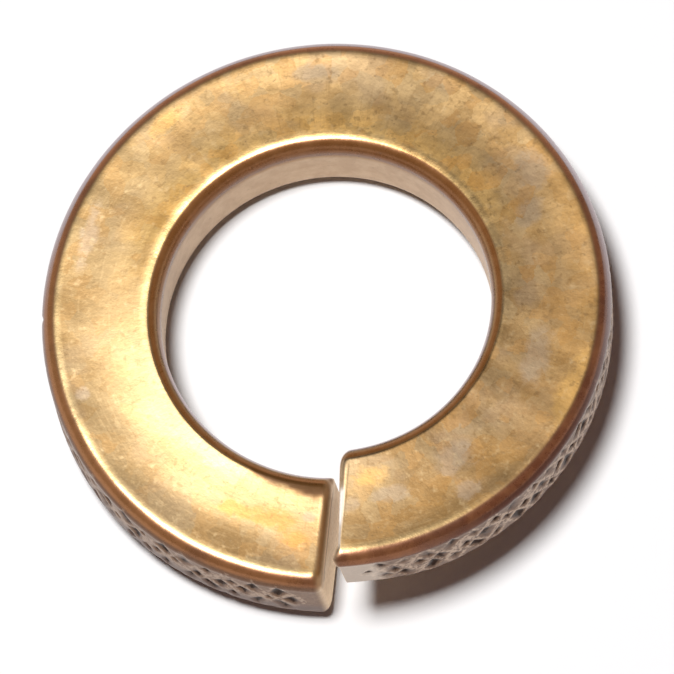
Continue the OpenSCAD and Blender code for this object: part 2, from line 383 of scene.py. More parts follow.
def end_rings(side):
    """Rings of a sheared end, and how far each belongs to the cut, from the middle out to the shoulder."""
    radius_of_round = end_round(*SECTION.T, side)
    within = drawn_in(radius_of_round + BURR_WIDTH)
    rings = []
    for size in CAP_RINGS:
        radius = MIDDLE_RADIUS + (within[0] - MIDDLE_RADIUS) * size
        height = MIDDLE_HEIGHT + (within[1] - MIDDLE_HEIGHT) * size
        rings.append((carried(radius, height, end_angle(radius, height, side, 0)), 1.0))
    rings.append((carried(*within, end_angle(*within, side, 0)), 1.0))
    for turn in np.radians(END_TURNS):
        radius, height = drawn_in(radius_of_round * (1 - math.sin(turn)))
        back = radius_of_round * (1 - math.cos(turn)) - burr(side) * math.cos(turn)
        rings.append((carried(radius, height, end_angle(radius, height, side, back)), math.cos(turn) ** 2))
    return rings


# Stains of the top face: centre (x, y), half length and half width in millimetres, and turn in degrees.
STAINS = {
    "lilac": [
        (-8.95, 3.75, 1.5, 0.38, 73), (8.28, 4.83, 1.0, 0.7, 100), (8.02, 3.09, 0.8, 0.6, 60),
        (4.74, -7.0, 0.9, 0.7, 30), (5.08, -8.3, 0.6, 0.4, 30), (2.27, -8.29, 0.9, 0.35, 10),
        (0.67, -8.64, 0.4, 0.35, 0), (-1.05, -8.1, 0.3, 0.25, 0), (-9.5, -2.7, 0.3, 0.3, 0),
        (0.1, 9.66, 1.0, 0.35, 0), (8.0, -2.93, 1.4, 0.6, 70),
    ],
    "olive": [
        (-5.5, 6.88, 1.3, 0.5, 39), (-3.0, 8.1, 1.4, 0.5, 20), (0.03, 8.38, 1.6, 0.55, 0),
        (3.2, 7.9, 1.5, 0.5, -22), (6.0, 6.0, 1.4, 0.5, -45), (7.4, 1.4, 1.3, 0.5, 100),
        (6.9, -3.6, 1.2, 0.4, 62),
    ],
    "amber": [
        (1.53, -7.51, 0.8, 0.45, -5), (9.22, -4.44, 1.8, 0.5, 65), (-5.9, 8.0, 0.8, 0.4, 38),
    ],
    "orange": [
        (-2.5, -8.1, 1.1, 0.5, -15), (-3.8, -7.7, 0.9, 0.35, -28), (-1.6, -9.0, 0.6, 0.45, -10),
    ],
}
STAIN_BORDER = (0.2, 1.5)


def stained(kind, points):
    """How strongly a kind of stain shows at each point."""
    total = np.zeros(len(points))
    for x, y, length, width, degrees in STAINS[kind]:
        turn = math.radians(degrees)
        from_x, from_y = points[:, 0] - x, points[:, 1] - y
        lengthwise = (from_x * math.cos(turn) + from_y * math.sin(turn)) / length
        crosswise = (from_y * math.cos(turn) - from_x * math.sin(turn)) / width
        distance = np.sqrt(lengthwise * lengthwise + crosswise * crosswise)
        total = np.maximum(total, 1 - ramp(distance, *STAIN_BORDER))
    return total


def pressed_wedge(share):
    """The brown wedge at the low end's inner corner, narrower along the coil and ragged at its border."""
    ragged = 1 + sum(height * math.sin(pace * share) for height, pace in WEDGE_WAVES)
    border = WEDGE_WIDTH * ragged * max(1 - share / WEDGE_SHARE, 0) - WEDGE_SETBACK
    return 1 - ramp(ZONES["to bore"], border - WEDGE_BORDER, border + WEDGE_BORDER)


def zones_of_ring(share):
    """The zones at one place of the coil: brown, partly tarnish and partly painted dark reflection, is wider
    outside beside the split and inside opposite it.
    """
    far = far_side(share)
    edge, rim, band = [
        ZONES["near " + name] * (1 - far) + ZONES["far " + name] * far for name in ("edge", "rim", "band")
    ]
    on_left = 1 - ramp(share, *LEFT_SHARES)
    at_tip = ramp(share, *TIP_SHARES)
    beside = max(1 - ramp(share, *LOW_SHARES), ramp(share, *HIGH_SHARES))
    edge = edge * (1 - on_left) + ZONES["left edge"] * on_left
    edge = edge * (1 - at_tip) + ZONES["tip edge"] * at_tip
    pressed = pressed_wedge(share)
    band = np.maximum(band, WEDGE_STRENGTH * pressed)
    rolls = np.maximum(beside * ZONES["outer roll"], far * ZONES["inner roll"])
    arcs = np.maximum(ZONES["outer arc"], ZONES["inner arc"])
    return {
        "edge": edge,
        "pressed": pressed,
        "rim": np.maximum(rim, ZONES["lower rim"]),
        "band": np.maximum(band, FOOT_BAND * ZONES["foot"]),
        # A painted reflection of the lit table on the edges that face away from the camera.
        "fringe": far * ZONES["fringe"] + (1 - far) * ZONES["inner fringe"],
        # A painted dark reflection on the outer edge beside the split.
        "purple": (1 - far) * (1 - LEFT_LESS_DARK_REFLECTION * on_left) * rim * ZONES["purple"],
        # Painted shade at the rim's foot on the low side, where it rests on the table.
        "grime": ZONES["grime"] * (1 - ramp(share, *LOW_SHARES)),
        # A painted reflection of the lit table on the rim's side near the high end's tip.
        "pale": ZONES["rim side"] * ramp(share, *TABLE_REFLECTION_SHARES),
        # A painted highlight on the rolled-over borders of the top face.
        "glint": rolls * (ZONES["top"] == 1),
        "polish": np.maximum(arcs, rolls),
    }


def streak(share, cut):
    """The painted highlight: a bright line along the top of the high end."""
    radius = SECTION[:, 0]
    lengthwise = ramp(radius, *END_HIGHLIGHT_STARTS) * (1 - ramp(radius, *END_HIGHLIGHT_ENDS))
    lengthwise = lengthwise * (1 - END_HIGHLIGHT_THINNER * ramp(radius, *END_HIGHLIGHT_THINS))
    crosswise = ramp(cut, *END_HIGHLIGHT_RISE) * (1 - ramp(cut, *END_HIGHLIGHT_FALL))
    return (share == 1) * ZONES["top"] * lengthwise * crosswise


def coil_rings():
    """All rings from end to end: points, depths of the knurl, nearness to a crest, share of the turn, cut."""
    plain = np.zeros(len(SECTION))
    rings = [(points, plain, plain, 0.0, cut) for points, cut in end_rings(-1)]
    for column in range(COLUMNS + 1):
        rings.append((*coil_ring(column / COLUMNS), column / COLUMNS, 0.0))
    rings += [(points, plain, plain, 1.0, cut) for points, cut in end_rings(1)[::-1]]
    return rings


def coil_faces(ring_count):
    """Faces between neighbouring rings, and round each end's middle, which are the last two points."""
    count = len(SECTION)
    here = np.arange(count)
    there = np.roll(here, -1)
    faces = []
    for number in range(ring_count - 1):
        low, high = number * count, (number + 1) * count
        faces += np.stack([low + here, low + there, high + there, high + here], 1).tolist()
    last = (ring_count - 1) * count
    first_middle, last_middle = ring_count * count, ring_count * count + 1
    faces += [(first_middle, int(b), int(a)) for a, b in zip(here, there)]
    faces += [(last_middle, last + int(a), last + int(b)) for a, b in zip(here, there)]
    return faces


def keep(mesh, name, values, at_middles=0.0):
    """Keep a value for each point of the mesh, ring by ring, as an attribute that the material reads."""
    values = np.append(np.concatenate(values), [at_middles, at_middles]).astype(np.float32)
    mesh.attributes.new(name, "FLOAT", "POINT").data.foreach_set("value", values)


def keep_zones(mesh, points, pits, crests, shares, cuts):
    """Keep all that the material goes by on the mesh."""
    keep(mesh, "pit", pits)
    keep(mesh, "crest", crests)
    keep(mesh, "cut", [np.full(len(SECTION), cut) for cut in cuts], 1.0)
    lips = [(LOW_LIP if share == 0 else HIGH_LIP) * 4 * cut * (1 - cut) for share, cut in zip(shares, cuts)]
    lips[len(CAP_RINGS)] = LOW_FACE_LIP
    keep(mesh, "lip", [lip * ZONES["top"] for lip in lips])
    keep(mesh, "streak", [streak(share, cut) for share, cut in zip(shares, cuts)])
    zones = [zones_of_ring(share) for share in shares]
    for name in ("edge", "band"):
        keep(mesh, name, [zone[name] * (1 - cut) for zone, cut in zip(zones, cuts)])
    for name in ("rim", "fringe", "purple", "grime", "pale", "polish", "glint", "pressed"):
        keep(mesh, name, [zone[name] for zone in zones])
    for name in ("deep", "bore", "upper"):
        keep(mesh, name, [ZONES[name] for _ in shares])
    for kind in STAINS:
        keep(mesh, kind, [stained(kind, ring) * ZONES["top"] for ring in points])


def build_coil():
    """The whole washer as one closed mesh with its zones kept as attributes."""
    points, pits, crests, shares, cuts = zip(*coil_rings())
    middle = np.array([MIDDLE_RADIUS]), np.array([MIDDLE_HEIGHT])
    middles = [carried(*middle, end_angle(*middle, side, 0)) for side in (-1, 1)]
    mesh = bpy.data.meshes.new("knurled_coil")
    mesh.from_pydata((np.concatenate([*points, *middles]) * MM).tolist(), [], coil_faces(len(points)))
    mesh.update()
    keep_zones(mesh, points, pits, crests, shares, cuts)
    piece = bpy.data.objects.new("knurled_coil", mesh)
    bpy.context.scene.collection.objects.link(piece)
    mesh.shade_smooth()
    return piece


coil = build_coil()

# Sockets of the Mix node for colours, which shares their names with its other kinds.
MIX_SHARE, MIX_FIRST, MIX_SECOND, MIX_RESULT = 0, 6, 7, 2


class Nodes:
    """A short way to write a material's nodes."""

    def __init__(self, tree):
        self.tree = tree

    def add(self, kind, inputs=(), **settings):
        """A new node with its settings and inputs."""
        node = self.tree.nodes.new("ShaderNode" + kind)
        for name, value in settings.items():
            setattr(node, name, value)
        for name, value in dict(inputs).items():
            self.set(node.inputs[name], value)
        return node

    def set(self, socket, value):
        """Link a socket to another node, or set its own value."""
        if isinstance(value, bpy.types.NodeSocket):
            self.tree.links.new(value, socket)
        elif isinstance(value, tuple) and socket.type == "RGBA":
            socket.default_value = (*value, 1.0)
        else:
            socket.default_value = value

    def attribute(self, name):
        """A value that is kept on the mesh."""
        return self.add("Attribute", attribute_name=name).outputs["Fac"]

    def math(self, operation, a, b=0.0):
        """One step of arithmetic."""
        return self.add("Math", {0: a, 1: b}, operation=operation).outputs[0]

    def product(self, first, *others):
        """All values multiplied."""
        for other in others:
            first = self.math("MULTIPLY", first, other)
        return first

    def total(self, first, *others):
        """All values added up."""
        for other in others:
            first = self.math("ADD", first, other)
        return first

    def scaled(self, vector, factor):
        """A vector or a colour times one value."""
        return self.add("VectorMath", {0: vector, "Scale": factor}, operation="SCALE").outputs[0]

    def noise(self, coordinates, scale, detail, roughness, output="Fac"):
        """Soft noise, as a value or as a colour."""
        inputs = {"Vector": coordinates, "Scale": scale, "Detail": detail, "Roughness": roughness}
        return self.add("TexNoise", inputs).outputs[output]

    def mix(self, share, a, b):
        """Colour a where the share is 0, colour b where it is 1."""
        node = self.add("Mix", data_type="RGBA")
        self.set(node.inputs[MIX_SHARE], share)
        self.set(node.inputs[MIX_FIRST], a)
        self.set(node.inputs[MIX_SECOND], b)
        return node.outputs[MIX_RESULT]

    def layers(self, color, layers):
        """A colour under layers, each given as where it shows, how strongly, and its own colour."""
        for share, strength, over in layers:
            color = self.mix(self.product(share, strength), color, over)
        return color

    def between(self, value, low, high):
        """0 at low and before, 1 at high and beyond, smooth between them; high may be the smaller one."""
        inputs = {"Value": value, "From Min": low, "From Max": high}
        return self.add("MapRange", inputs, interpolation_type="SMOOTHSTEP").outputs["Result"]


# Noise of the surface: scale per millimetre, detail and roughness.
NOISES = {
    "clouds": (0.45, 3.0, 0.5),
    "patches": (1.5, 5.0, 0.66),
    "grain": (6.5, 3.0, 0.6),
    "flecks": (3.1, 2.0, 0.5),
    "specks": (3.9, 2.0, 0.5),
}

# Small tiles with wandering borders, and the tone of the gold that tiles and patches make together.
TILE_SCALE, SMALL_TILE_SCALE = 1.5, 3.4
TILE_WANDER, TILE_WANDER_NOISE = 0.4, (2.2, 5.0, 0.7)
TONE_WEIGHTS = {"tiles": 0.55, "small tiles": 0.25, "patches": 1.7}
TONE_RANGE = (-0.45, 0.45)

# Fine marks round and across the wire: the scale of their noise per millimetre of radius and of length round.
MARKS = {"round marks": (7.0, 0.5), "cross marks": (0.6, 6.0)}
MARK_NOISE = (1.0, 3.0, 0.6)

# Regions seen from above: how much of x and y is added up, and the sums that give 0 and 1, in millimetres.
REGIONS = {
    "left": (1.0, 0.0, 7.0, -9.0),
    "right half": (1.0, 0.0, 0.0, 2.0),
    "back": (0.0, 1.0, -9.5, 9.5),
    "top": (0.0, 1.0, 7.8, 8.6),
    "upper half": (0.0, 1.0, 0.0, 6.0),
    "above middle": (0.0, 1.0, 0.5, 4.0),
    "above lower left": (0.0, 1.0, -5.5, -2.0),
    "bottom": (0.0, 1.0, -4.0, -7.0),
    "left side": (1.0, 0.2, -3.0, -8.0),
    "lower left": (-0.94, -0.34, 1.0, 8.0),
    "far lower left": (-0.72, -0.69, 2.0, 7.0),
    "upper right": (0.4, 0.9, 1.0, 6.5),
    "right": (0.9, -0.4, 2.0, 8.5),
    "upper rim": (0.87, 0.5, 8.4, 9.3),
    "lower rim": (0.5, -0.87, 9.5, 10.0),
}

# Regions by the distance from the axis, and the one by the distance from the line x = 0.
RADIAL_REGIONS = {"outward": (7.6, 9.8), "inward": (8.9, 7.2), "within the rim": (9.6, 8.6)}
MIDDLE_LINE = (4.0, 1.5)

# Painted light and shade: how much lighter or darker the gold is where the named regions overlap.
PAINTED_LIGHT = (
    (("upper right", "inward"), 0.35),
    (("lower left", "outward"), -0.3),
    (("left side",), -0.1),
    (("bottom", "right half"), -0.14),
    (("left side", "within the rim", "above lower left"), -0.14),
    (("top", "middle line"), 0.26),
    (("upper rim",), 0.2),
    (("lower rim",), -0.25),
)

# Colours of the top face, as linear red, green and blue; the gold runs from a front tone to a back tone.
# The darker front tone is painted shade that tones down the lamp's stronger highlight on the near side.
DEEP_GOLD_SHADED_FRONT, DEEP_GOLD_BACK = (0.27, 0.155, 0.06), (0.38, 0.235, 0.095)
PALE_GOLD_SHADED_FRONT, PALE_GOLD_BACK = (0.345, 0.22, 0.10), (0.56, 0.37, 0.165)
CLOUD_TAN = (0.36, 0.26, 0.17)
TILE_OLIVE, TILE_ORANGE = (0.36, 0.28, 0.165), (0.45, 0.245, 0.085)
# The left gold is painted shade on the left, and the core gold is a painted highlight in the lower left.
LEFT_SHADED_GOLD, RIGHT_ORANGE, HIGHLIGHT_CORE_GOLD = (0.42, 0.28, 0.125), (0.42, 0.235, 0.075), (0.60, 0.43, 0.22)
RICHER_GOLD = (1.03, 0.96, 0.72)
ROUND_MARK, CROSS_MARK, GRAIN_GOLD = (0.50, 0.35, 0.18), (0.24, 0.14, 0.055), (0.50, 0.35, 0.17)
FLECK_GOLD, SPECK_BROWN = (0.60, 0.45, 0.25), (0.20, 0.12, 0.05)
# Painted highlight: a paler gold along the rolled-over borders of the top face, where the lamp's highlight
# runs.
GLINT_GOLD = (0.57, 0.43, 0.215)
STAIN_LAYERS = {
    "olive": ((0.31, 0.195, 0.08), 0.32),
    "amber": ((0.58, 0.34, 0.105), 0.55),
    "orange": ((0.47, 0.225, 0.065), 0.8),
    "lilac": ((0.34, 0.265, 0.19), 0.5),
}

# How much the tone breaks up a stain, the values between which it then shows, and those of its own strength.
STAIN_TONE, STAIN_RANGE, STAIN_CORE = 0.9, (0.1, 0.9), (0.0, 0.5)

# Colours of the rounded edges, the rim, the bore and the sheared ends.
# The edges' brown is partly tarnish. Its left tone is painted light, its back tone a painted reflection of
# the lit table, and its upper tone painted shade.
EDGE_RIGHT, EDGE_LEFT_LIT, EDGE_BACK_REFLECTED = (0.20, 0.068, 0.03), (0.31, 0.135, 0.048), (0.34, 0.14, 0.065)
EDGE_PATCH, EDGE_CLOUD, EDGE_UPPER_SHADE = (0.42, 0.18, 0.07), (0.12, 0.05, 0.03), (0.14, 0.055, 0.025)
BAND_SHALLOW, BAND_DEEP = (0.265, 0.103, 0.027), (0.22, 0.085, 0.024)
BAND_PATCH, BAND_PRESSED = (0.45, 0.22, 0.09), (0.12, 0.05, 0.01)
RIM_DARK, RIM_LIGHT, RIM_LEFT = (0.15, 0.087, 0.055), (0.23, 0.146, 0.095), (0.225, 0.129, 0.074)
# The second colour is a painted dark reflection on the rim's upper edge beside the split.
RIM_CREST, RIM_DARK_REFLECTION = (0.47, 0.34, 0.245), (0.085, 0.032, 0.022)
# The first colour is painted shade at the rim's foot. The second is a painted reflection of the lit table
# near the high end's tip.
RIM_FOOT_SHADE, RIM_TABLE_REFLECTION = (0.13, 0.09, 0.08), (0.82, 0.72, 0.61)
BORE_DARK, BORE_LIGHT = (0.43, 0.285, 0.17), (0.54, 0.385, 0.25)
CUT_DARK, CUT_LIGHT = (0.84, 0.63, 0.41), (0.98, 0.77, 0.54)
# The first of these colours is a painted reflection of the lit table, and the last is a painted highlight.
FRINGE_REFLECTION_GREY, LIP_BROWN, END_HIGHLIGHT_WHITE = (0.46, 0.39, 0.40), (0.34, 0.19, 0.085), (1.0, 0.94, 0.86)
PIT_BROWN, PIT_BLACK = (0.11, 0.066, 0.046), (0.03, 0.014, 0.008)
PIT_GRAIN = 0.6

# How matt and how tarnished the parts are, and the two layers of bumps: depth in millimetres and strengths.
ROUGHNESS, PATCH_ROUGHNESS, POLISH, CUT_ROUGHNESS = 0.35, 0.14, 0.14, 0.2
TARNISH = 0.6
BUMP_WEIGHTS = {"grain": 0.35, "round marks": 0.5, "cross marks": 0.4}
FINE_BUMP, FINE_STRENGTH, FINE_RIM_STRENGTH = 0.012, 0.18, 0.7
SOFT_BUMP, SOFT_STRENGTH, SOFT_RIM_STRENGTH = 0.03, 0.3, 0.4


def tile_patterns(n, place):
    """Small patches with wandering borders, each with its own tone and hue."""
    wandering = n.scaled(n.noise(place, *TILE_WANDER_NOISE, output="Color"), TILE_WANDER)
    wandering = n.add("VectorMath", {0: place, 1: wandering}, operation="ADD").outputs[0]
    tiles = n.add("TexVoronoi", {"Vector": wandering, "Scale": TILE_SCALE}).outputs["Color"]
    small_tiles = n.add("TexVoronoi", {"Vector": wandering, "Scale": SMALL_TILE_SCALE}).outputs["Color"]
    tiles = n.add("SeparateXYZ", {0: tiles})
    small_tiles = n.add("SeparateXYZ", {0: small_tiles})
    return {"tiles": tiles.outputs["X"], "hues": tiles.outputs["Y"], "small tiles": small_tiles.outputs["X"]}


def surface(n):
    """What the colours go by at a point of the washer, by name: noise, tiles, marks, tone, regions."""
    place = n.scaled(n.add("TexCoord").outputs["Object"], 1 / MM)
    apart = n.add("SeparateXYZ", {0: place})
    x, y = apart.outputs["X"], apart.outputs["Y"]
    from_axis = n.add("CombineXYZ", {0: x, 1: y}).outputs[0]
    radius = n.add("VectorMath", {0: from_axis}, operation="LENGTH").outputs["Value"]
    round_wire = n.product(n.math("ARCTAN2", x, y), MIDDLE_RADIUS)

    at = {name: n.noise(place, *settings) for name, settings in NOISES.items()}
    at.update(tile_patterns(n, place))
    for name, (by_radius, by_length) in MARKS.items():
        stretched = {0: n.product(radius, by_radius), 1: n.product(round_wire, by_length)}
        at[name] = n.noise(n.add("CombineXYZ", stretched).outputs[0], *MARK_NOISE)
    tones = [n.product(n.math("SUBTRACT", at[name], 0.5), weight) for name, weight in TONE_WEIGHTS.items()]
    at["tone"] = n.total(*tones)
    for name, (of_x, of_y, low, high) in REGIONS.items():
        at[name] = n.between(n.total(n.product(x, of_x), n.product(y, of_y)), low, high)
    for name, limits in RADIAL_REGIONS.items():
        at[name] = n.between(radius, *limits)
    at["middle line"] = n.between(n.math("ABSOLUTE", x), *MIDDLE_LINE)
    return at


def gold_with_painted_light(n, at, gold):
    """The gold with painted light and shade by region, and richer on the inner half of the upper part."""
    light = 1.0
    for names, gain in PAINTED_LIGHT:
        light = n.total(light, n.product(*[at[name] for name in names], gain))
    gold = n.scaled(gold, light)
    richer = n.add("VectorMath", {0: gold, 1: RICHER_GOLD}, operation="MULTIPLY").outputs[0]
    return n.mix(n.product(at["inward"], at["above middle"]), gold, richer)


def stain_layers(n, at):
    """The stains, broken up by the face's own tone."""
    layers = []
    for kind, (color, strength) in STAIN_LAYERS.items():
        ragged = n.between(n.total(n.attribute(kind), n.product(at["tone"], STAIN_TONE)), *STAIN_RANGE)
        core = n.between(n.attribute(kind), *STAIN_CORE)
        layers.append((n.product(ragged, core), strength, color))
    return layers


def gold_color(n, at):
    """The golden top face: mottled, with painted light and shade by region, fine marks, stains, flecks,
    specks and a painted glint.
    """
    deep_gold = n.mix(at["back"], DEEP_GOLD_SHADED_FRONT, DEEP_GOLD_BACK)
    pale_gold = n.mix(at["back"], PALE_GOLD_SHADED_FRONT, PALE_GOLD_BACK)
    gold = n.mix(n.between(at["tone"], *TONE_RANGE), deep_gold, pale_gold)
    gold = n.layers(gold, [
        (n.between(at["clouds"], 0.5, 0.62), 0.4, CLOUD_TAN),
        (n.between(at["hues"], 0.6, 0.75), 0.3, TILE_OLIVE),
        (n.between(at["hues"], 0.35, 0.2), 0.4, TILE_ORANGE),
        # Painted shade: the gold toned down on the left, where the lamp's highlight is strongest.
        (at["left"], 0.3, LEFT_SHADED_GOLD),
        (n.product(at["right"], at["outward"]), 0.5, RIGHT_ORANGE),
        # Painted highlight: a paler gold in the lower left, inside the rim, where the lamp's highlight lies.
        (n.product(at["far lower left"], at["within the rim"]), 0.35, HIGHLIGHT_CORE_GOLD),
    ])
    gold = gold_with_painted_light(n, at, gold)
    return n.layers(gold, [
        (n.between(at["round marks"], 0.54, 0.7), 0.15, ROUND_MARK),
        (n.between(at["cross marks"], 0.46, 0.3), 0.25, CROSS_MARK),
        (n.between(at["grain"], 0.5, 0.72), 0.2, GRAIN_GOLD),
        *stain_layers(n, at),
        (n.between(at["flecks"], 0.56, 0.8), 0.3, FLECK_GOLD),
        (n.between(at["specks"], 0.42, 0.28), 0.4, SPECK_BROWN),
        # Painted highlight along the rolled-over borders.
        (n.attribute("glint"), 0.4, GLINT_GOLD),
    ])


def edge_brown(n, at):
    """The brown of the rounded outer edge, partly tarnish: lighter on the left as painted light, redder at
    the back as a painted reflection of the lit table, and darker towards the top face as painted shade.
    """
    return n.layers(n.mix(at["left"], EDGE_RIGHT, EDGE_LEFT_LIT), [
        (at["upper half"], 1.0, EDGE_BACK_REFLECTED),
        (n.between(at["patches"], 0.36, 0.66), 0.35, EDGE_PATCH),
        (n.between(at["clouds"], 0.5, 0.35), 0.4, EDGE_CLOUD),
        (n.attribute("upper"), 0.3, EDGE_UPPER_SHADE),
    ])


def band_brown(n, at):
    """The brown of the band along the bore, darkest in the pressed wedge."""
    return n.layers(n.mix(n.attribute("deep"), BAND_SHALLOW, BAND_DEEP), [
        (n.between(at["patches"], 0.35, 0.7), 0.2, BAND_PATCH),
        (n.attribute("pressed"), 0.9, BAND_PRESSED),
    ])


def rim_grey(n, at):
    """The greyer rim with light crumbled crests, a painted dark reflection beside the split, painted shade at
    its foot on the low side, and a painted reflection of the lit table at the tip.
    """
    crumbled = n.product(n.between(n.attribute("crest"), 0.0, 0.6), n.between(at["grain"], 0.4, 0.54))
    crumbled = n.product(crumbled, n.math("SUBTRACT", 1.0, n.product(at["left"], 0.45)))
    return n.layers(n.mix(n.between(at["grain"], 0.35, 0.7), RIM_DARK, RIM_LIGHT), [
        (at["left"], 0.65, RIM_LEFT),
        (crumbled, 1.0, RIM_CREST),
        (n.attribute("purple"), 0.9, RIM_DARK_REFLECTION),
        (n.attribute("grime"), 0.75, RIM_FOOT_SHADE),
        (n.attribute("pale"), 0.45, RIM_TABLE_REFLECTION),
    ])


def surface_color(n, at):
    """The colours of all zones, laid over the gold one after another."""
    ragged_pit = n.total(n.attribute("pit"), n.product(n.math("SUBTRACT", at["grain"], 0.5), PIT_GRAIN))
    return n.layers(gold_color(n, at), [
        (n.attribute("rim"), 1.0, rim_grey(n, at)),
        (n.attribute("bore"), 1.0, n.mix(n.between(at["patches"], 0.3, 0.7), BORE_DARK, BORE_LIGHT)),
        # Painted reflection of the lit table on the edges that face away from the camera.
        (n.attribute("fringe"), 1.0, FRINGE_REFLECTION_GREY),
        (n.attribute("cut"), 1.0, n.mix(n.between(at["grain"], 0.3, 0.7), CUT_DARK, CUT_LIGHT)),
        (n.attribute("edge"), 1.0, edge_brown(n, at)),
        (n.attribute("band"), 1.0, band_brown(n, at)),
        (n.attribute("lip"), 0.9, LIP_BROWN),
        (n.between(ragged_pit, 0.06, 0.25), 0.85, PIT_BROWN),
        (n.between(ragged_pit, 0.2, 0.38), 1.0, PIT_BLACK),
        # Painted highlight along the top of the high end.
        (n.attribute("streak"), 1.0, END_HIGHLIGHT_WHITE),
    ])


def surface_normal(n, at):
    """Fine marks over soft dents, both stronger on the rim."""
    height = n.total(*[n.product(at[name], weight) for name, weight in BUMP_WEIGHTS.items()])
    strength = n.total(n.product(n.attribute("rim"), FINE_RIM_STRENGTH), FINE_STRENGTH)
    fine = n.add("Bump", {"Height": height, "Strength": strength, "Distance": FINE_BUMP * MM})
    strength = n.total(n.product(n.attribute("rim"), SOFT_RIM_STRENGTH), SOFT_STRENGTH)
    return n.add("Bump", {
        "Height": at["patches"],
        "Strength": strength,
        "Distance": SOFT_BUMP * MM,
        "Normal": fine.outputs[0],
    }).outputs[0]


def bronze():
    """Satin bronze: golden faces with stains and fine marks, brown rounded edges, a greyer knurled rim."""
    material = bpy.data.materials.new("bronze")
    material.use_nodes = True
    tree = material.node_tree
    tree.nodes.clear()
    n = Nodes(tree)
    at = surface(n)
    tarnish_and_highlight = n.product(n.math("MAXIMUM", n.attribute("edge"), n.attribute("band")), TARNISH)
    # The painted highlight is matt as well, so that the lamp lights its near-white colour.
    tarnish_and_highlight = n.math("MAXIMUM", tarnish_and_highlight, n.attribute("streak"))
    roughness = n.total(
        n.product(at["patches"], PATCH_ROUGHNESS),
        ROUGHNESS,
        n.product(n.attribute("polish"), -POLISH),
        n.product(n.attribute("cut"), CUT_ROUGHNESS),
    )
    shader = n.add("BsdfPrincipled", {
        "Base Color": surface_color(n, at),
        "Metallic": n.math("SUBTRACT", 1.0, tarnish_and_highlight),
        "Roughness": roughness,
        "Normal": surface_normal(n, at),
    })
    tree.links.new(shader.outputs[0], n.add("OutputMaterial").inputs["Surface"])
    return material


coil.data.materials.append(bronze())
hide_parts(NODE)
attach(coil, "root")

# The hull is made of every third point, and only faces that look well downward can carry the washer.
HULL_STEP, DOWNWARD = 3, -0.5


def resting_plane(mesh):
    """The plane that the washer comes to rest on: a point of it and its upward normal."""
    hull = bmesh.new()
    for vertex in mesh.vertices:
        if vertex.index % HULL_STEP == 0:
            hull.verts.new(vertex.co)
    made = bmesh.ops.convex_hull(hull, input=hull.verts)
    under_middle = Vector((0, 0))
    found = None
    for side in [item for item in made["geom"] if isinstance(item, bmesh.types.BMFace)]:
        side.normal_update()
        if side.normal.z > DOWNWARD:
            continue
        corners = [corner.co.xy for corner in side.verts]
        turns = [(b - a).cross(under_middle - a) for a, b in zip(corners, corners[1:] + corners[:1])]
        if all(turn <= 0 for turn in turns) or all(turn >= 0 for turn in turns):
            found = (side.verts[0].co.copy(), -side.normal.normalized())
    hull.free()
    return found


rest_point, rest_up = resting_plane(coil.data)

# The table in metres: it follows the resting plane out to the first radius and is level from the second on.
SWELL_FROM, SWELL_TO = 0.018, 0.06
FLOOR_LOW = -0.0012
FLOOR_SPOKES, SWELL_RINGS = 96, 30
LEVEL_RADII = (0.1, 0.2, 0.6)
TABLE_WHITE = (0.9, 0.9, 0.9)


def floor_height(x, y):
    """The table is the resting plane under the washer and runs out level a little way off."""
    share = float(ramp(math.hypot(x, y), SWELL_FROM, SWELL_TO))
    plane = rest_point.z - (rest_up.x * (x - rest_point.x) + rest_up.y * (y - rest_point.y)) / rest_up.z
    return plane * (1 - share) + FLOOR_LOW * share


def paint(name, color):
    """Plain matt paint."""
    material = bpy.data.materials.new(name)
    material.use_nodes = True
    shader = material.node_tree.nodes["Principled BSDF"]
    shader.inputs["Base Color"].default_value = (*color, 1.0)
    shader.inputs["Roughness"].default_value = 0.9
    shader.inputs["Specular IOR Level"].default_value = 0.1
    return material


def build_floor():
    """A round white table top."""
    radii = [*np.linspace(0, SWELL_TO, SWELL_RINGS + 1)[1:], *LEVEL_RADII]
    vertices = [(0, 0, floor_height(0, 0))]
    for reach in radii:
        for spoke in range(FLOOR_SPOKES):
            angle = 2 * math.pi * spoke / FLOOR_SPOKES
            x, y = reach * math.cos(angle), reach * math.sin(angle)
            vertices.append((x, y, floor_height(x, y)))
    faces = [(0, 1 + spoke, 1 + (spoke + 1) % FLOOR_SPOKES) for spoke in range(FLOOR_SPOKES)]
    for number in range(len(radii) - 1):
        inner, outer = 1 + number * FLOOR_SPOKES, 1 + (number + 1) * FLOOR_SPOKES
        for spoke in range(FLOOR_SPOKES):
            after = (spoke + 1) % FLOOR_SPOKES
            faces.append((inner + spoke, outer + spoke, outer + after, inner + after))
    mesh = bpy.data.meshes.new("table_top")
    mesh.from_pydata(vertices, [], faces)
    mesh.shade_smooth()
    table = bpy.data.objects.new("table_top", mesh)
    mesh.materials.append(paint("table_white", TABLE_WHITE))
    bpy.context.scene.collection.objects.link(table)


build_floor()

# The camera stands where the photograph was taken from: pixels in the photo, lengths in millimetres.
IMAGE_PX = 674
PX_PER_MM = 25.68
ORIGIN_PX = (332.25, 347.8)
CAMERA_TILT, CAMERA_TURN, CAMERA_ROLL = math.radians(20.71), math.radians(6.4), math.radians(9.69)
CAMERA_DISTANCE = 277.2
SENSOR_MM = 36.0


